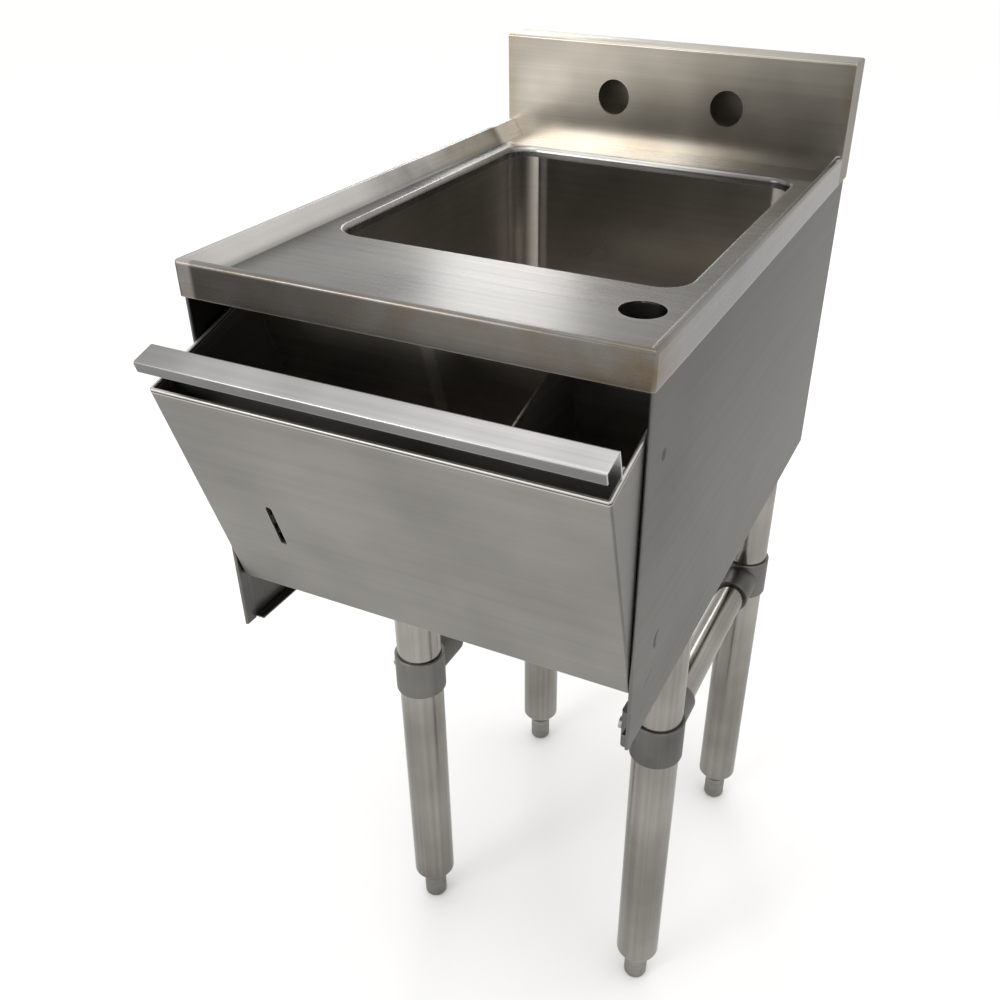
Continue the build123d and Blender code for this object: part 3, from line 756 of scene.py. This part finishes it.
# %% Beads where the raised rim meets the splash
rim_seams = []
for side in (-1, 1):
    top = Vector((side * (half_width - 3 * mm), splash_y, rim_z - 0.2 * mm))
    shoulder = Vector((side * (half_width - 5 * mm), splash_y, rim_z - 0.6 * mm))
    foot = Vector((side * (half_width - rim_reach + 0.6 * mm), splash_y, deck_z + 0.8 * mm))
    rim_seams.append([top, shoulder, foot])
weld("rim_welds", rim_seams, 1.1 * mm, 0.8 * mm)

# %% Short tacks at the ends of the leg channels
tack = 7 * mm
channel_seams = []
for end in ("front", "rear"):
    low, high = box_of("leg_channel_" + end)
    for x in (low.x, high.x):
        for y in (low.y, high.y):
            for z in (low.z + 4 * mm, high.z - 9 * mm):
                channel_seams.append([Vector((x, y, z)), Vector((x, y, z + tack))])
weld("channel_welds", channel_seams, 1.6 * mm, 1.2 * mm)

# %% [markdown]
# ## Screw threads
# A thread is a small ridge swept along a helix. One tree draws the helix with its own spiral node
# and sweeps a six-cornered profile along it. It winds the drain body's thread between its two nuts,
# and the threads on the stems of the feet, which come into view when a foot is screwed out.


# %% A tree that winds a thread
def thread_tree():
    tree, inputs, given = open_group("wound_thread", "Start",
                                     ("Core radius", "Turns", "Height", "Ridge"), "Thread")
    helix = tree.nodes.new("GeometryNodeCurveSpiral")
    helix.inputs["Resolution"].default_value = 40
    ridge = tree.nodes.new("GeometryNodeCurvePrimitiveCircle")
    ridge.inputs["Resolution"].default_value = 6
    sweep = tree.nodes.new("GeometryNodeCurveToMesh")
    sweep.inputs["Fill Caps"].default_value = True
    wire(tree, (given.outputs["Core radius"], helix.inputs["Start Radius"]),
         (given.outputs["Core radius"], helix.inputs["End Radius"]),
         (given.outputs["Turns"], helix.inputs["Rotations"]),
         (given.outputs["Height"], helix.inputs["Height"]),
         (given.outputs["Ridge"], ridge.inputs["Radius"]),
         (helix.outputs[0], sweep.inputs["Curve"]), (ridge.outputs[0], sweep.inputs["Profile Curve"]))
    lay_and_close(tree, given, given.outputs["Start"], sweep.outputs[0])
    return tree, inputs


thread_group = thread_tree()


def thread_values(core, pitch, height, ridge, metal):
    return {"Core radius": core, "Turns": height / pitch, "Height": height, "Ridge": ridge, "Metal": metal}


# %% Thread on the drain body
gap_to_nut = 0.8 * mm
drain_y = (bowl_low.y + bowl_high.y) / 2
thread_start = box_of("slip_nut")[1].z + gap_to_nut
thread_height = box_of("drain_locknut")[0].z - thread_start - gap_to_nut
grown(path_object("drain_thread", [[(0, drain_y, thread_start)]]), thread_group,
      thread_values(24.5 * mm, 1.8 * mm, thread_height, 0.55 * mm, finishes["drain_steel"]), "sink")

# %% [markdown]
# ## Bullet feet
# A foot is turned in one piece: a rounded pad and a threaded stem. The pad and the stem's core are
# one profile spun round its axis. The core is a little thin, and the wound thread brings it back to
# its full size, so it still fits its plug.


# %% Turned feet with a threaded stem
def turned(name, profile, count, material):
    corners = []
    faces = []
    for radius, z in profile:
        corners += [(radius * cos(tau * k / count), radius * sin(tau * k / count), z) for k in range(count)]
    for row in range(len(profile) - 1):
        for k in range(count):
            a = row * count + k
            b = row * count + (k + 1) % count
            faces.append((a, b, b + count, a + count))
    faces.append(tuple(reversed(range(count))))
    faces.append(tuple(range((len(profile) - 1) * count, len(profile) * count)))
    mesh = bpy.data.meshes.new(name)
    mesh.from_pydata(corners, [], faces)
    mesh.materials.append(material)
    for polygon in mesh.polygons[:-2]:
        polygon.use_smooth = True
    return mesh


def foot_profile(pad_radius, pad_top, stem_core, stem_top):
    rounding = 3.5 * mm
    steps = 8
    rows = [(pad_radius - rounding, 0.0)]
    for k in range(1, steps + 1):
        turn = pi / 2 * k / steps
        rows.append((pad_radius - rounding + rounding * sin(turn), rounding - rounding * cos(turn)))
    rows += [(pad_radius, pad_top - 1 * mm), (pad_radius - 0.4 * mm, pad_top - 0.4 * mm),
             (pad_radius - 1 * mm, pad_top), (stem_core, pad_top), (stem_core, stem_top - 1 * mm),
             (stem_core - 1 * mm, stem_top)]
    return rows


def joined(name, meshes, body):
    pieces = [linked(name, mesh) for mesh in meshes]
    with bpy.context.temp_override(active_object=pieces[0], selected_editable_objects=pieces):
        bpy.ops.object.join()
    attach(pieces[0], body)
    return pieces[0]


# %% Put a foot in each leg
turned_sides = 48
stem_core = 5.4 * mm
stem_pitch = 1.75 * mm
stem_ridge = 0.58 * mm
foot_metal = finishes["foot_steel"]
for place in corners_of_unit:
    low, high = box_of("foot_" + place)
    middle = (low + high) / 2
    pad_top = box_of("leg_plug_" + place)[0].z - 0.3 * mm
    stem_height = high.z - pad_top - 3 * mm
    profile = foot_profile((high.x - low.x) / 2, pad_top, stem_core, high.z)
    core = turned("foot_body_" + place, profile, turned_sides, foot_metal)
    core.transform(Matrix.Translation((middle.x, middle.y, low.z)))
    start = path_object("foot_thread_" + place, [[(middle.x, middle.y, pad_top + 1.2 * mm)]])
    thread = evaluated(start, thread_group,
                       thread_values(stem_core, stem_pitch, stem_height, stem_ridge, foot_metal))
    bpy.data.objects.remove(start)
    foot = joined("turned_foot_" + place, [core, thread], place + "_foot")
    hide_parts("foot_" + place)
print("feet turned")

# %% [markdown]
# ## Studio
# Steel shows what stands round it. A white floor lights the front and the sides from below, and a
# soft white sky grows brighter upward. A small panel stands behind the sink, to the left: the flat of
# the deck mirrors it as a bright sweep, which ends where the splash stands in its way. A second
# panel at the front left keeps the legs' highlights upright and clean, and a large one overhead
# softens the shadows.

# %% Floor
reach = 40.0
floor_mesh = bpy.data.meshes.new("studio_floor")
floor_mesh.from_pydata([(-reach, -reach, 0), (reach, -reach, 0), (reach, reach, 0), (-reach, reach, 0)],
                       [], [(0, 1, 2, 3)])
floor_material = bpy.data.materials.new("studio_floor")
floor_material.use_nodes = True
floor_shader = floor_material.node_tree.nodes["Principled BSDF"]
floor_shader.inputs["Base Color"].default_value = (0.86, 0.86, 0.86, 1.0)
floor_shader.inputs["Roughness"].default_value = 0.9
floor_shader.inputs["Specular IOR Level"].default_value = 0.1
floor_mesh.materials.append(floor_material)
floor = linked("studio_floor", floor_mesh)

# %% Sky
world = bpy.data.worlds.new("studio_sky")
bpy.context.scene.world = world
world.use_nodes = True
sky = world.node_tree
background = sky.nodes["Background"]
upward = axis_of(sky, "Z", add_node(sky, "ShaderNodeTexCoord", out=0))
feed(sky, background.inputs["Strength"], spread(sky, upward, 0.0, 0.9, 1.0, 1.25))
background.inputs["Color"].default_value = (1.0, 0.99, 0.97, 1.0)


# %% Lights
def panel_light(name, place, aim, wide, high, power):
    lamp = bpy.data.lights.new(name, "AREA")
    lamp.shape = "RECTANGLE"
    lamp.size = wide
    lamp.size_y = high
    lamp.energy = power
    thing = linked(name, lamp)
    thing.location = place
    thing.rotation_euler = (Vector(aim) - Vector(place)).to_track_quat("-Z", "Y").to_euler()


panel_light("rear_panel", (-1.34, 2.5, 1.90), (0.0, 0.0, 0.75), 0.50, 0.45, 5.6)
panel_light("left_panel", (-1.4, -2.3, 1.45), (0.0, 0.2, 0.75), 0.8, 0.6, 14.0)
panel_light("top_panel", (0.3, -0.4, 3.0), (0.0, 0.0, 0.4), 2.2, 2.2, 18.0)

# %% [markdown]
# ## Camera
# The camera stands in front and to the right of the unit at the photo's height, turned a little to
# the left and well down, with the slight roll of a hand-held shot.

# %% Camera
eye = Vector((0.302759, -0.670132, 0.967397))
heading = radians(23.80)
tilt_down = radians(33.19)
roll = radians(1.185)
turn = Matrix.Rotation(heading, 4, "Z") @ Matrix.Rotation(radians(90) - tilt_down, 4, "X")
turn = turn @ Matrix.Rotation(roll, 4, "Z")
lens = bpy.data.cameras.new("photo_camera")
lens.lens = 37.505
lens.sensor_width = 36.0
lens.shift_x = -0.059
lens.shift_y = 0.033
lens.clip_start = 0.05
camera = linked("photo_camera", lens)
camera.matrix_world = Matrix.Translation(eye) @ turn
bpy.context.scene.camera = camera
bpy.context.scene.view_settings.view_transform = "Standard"
print("camera at", [round(value, 3) for value in eye])
